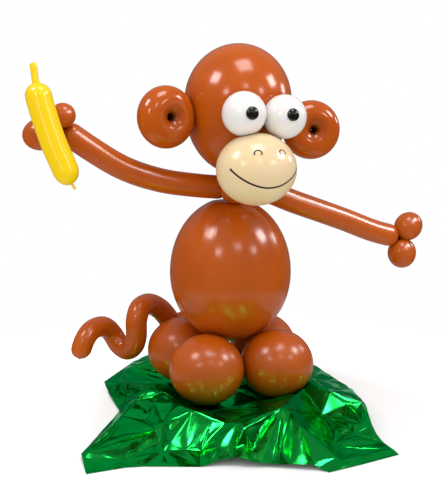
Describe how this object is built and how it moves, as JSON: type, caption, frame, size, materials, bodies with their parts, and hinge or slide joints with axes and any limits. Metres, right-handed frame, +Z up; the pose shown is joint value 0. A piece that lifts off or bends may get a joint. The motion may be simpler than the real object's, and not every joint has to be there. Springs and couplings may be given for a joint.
{
  "type": "balloon monkey",
  "caption": "Monkey twisted from brown balloons with cream muzzle, ring ears and corkscrew tail, arms spread, a yellow balloon banana in its right hand, standing on crumpled green foil.",
  "frame": {"origin": "on the floor, on the flat underside of the foil, at the centre of the four base balloons", "axes": "+Z up; the monkey faces -Y; +X towards its left hand, the empty one"},
  "size_m": [0.8378, 0.759, 0.7126],
  "materials": {
    "brown_latex": "inflated caramel-brown latex, smooth and glossy",
    "cream_latex": "inflated cream latex, satin gloss, with a drawn smile and nostrils",
    "white_latex": "inflated white latex, satin gloss",
    "black_latex": "glossy black latex",
    "yellow_latex": "inflated bright yellow latex, smooth and glossy",
    "green_foil": "crumpled metallised green foil, mirror-bright on its facets"
  },
  "bodies": {
    "root": {"body": "brown_latex", "base_ball_front_right": "brown_latex", "base_ball_front_left": "brown_latex", "base_ball_back_right": "brown_latex", "base_ball_back_left": "brown_latex", "head": "brown_latex", "muzzle": "cream_latex", "eye_right": "white_latex", "eye_left": "white_latex", "pupil_right": "black_latex", "pupil_left": "black_latex", "ear_right": "brown_latex", "ear_left": "brown_latex", "right_arm": "brown_latex", "left_arm": "brown_latex", "banana": "yellow_latex", "tail": "brown_latex", "foil_sheet": "green_foil"}
  },
  "joints": []
}
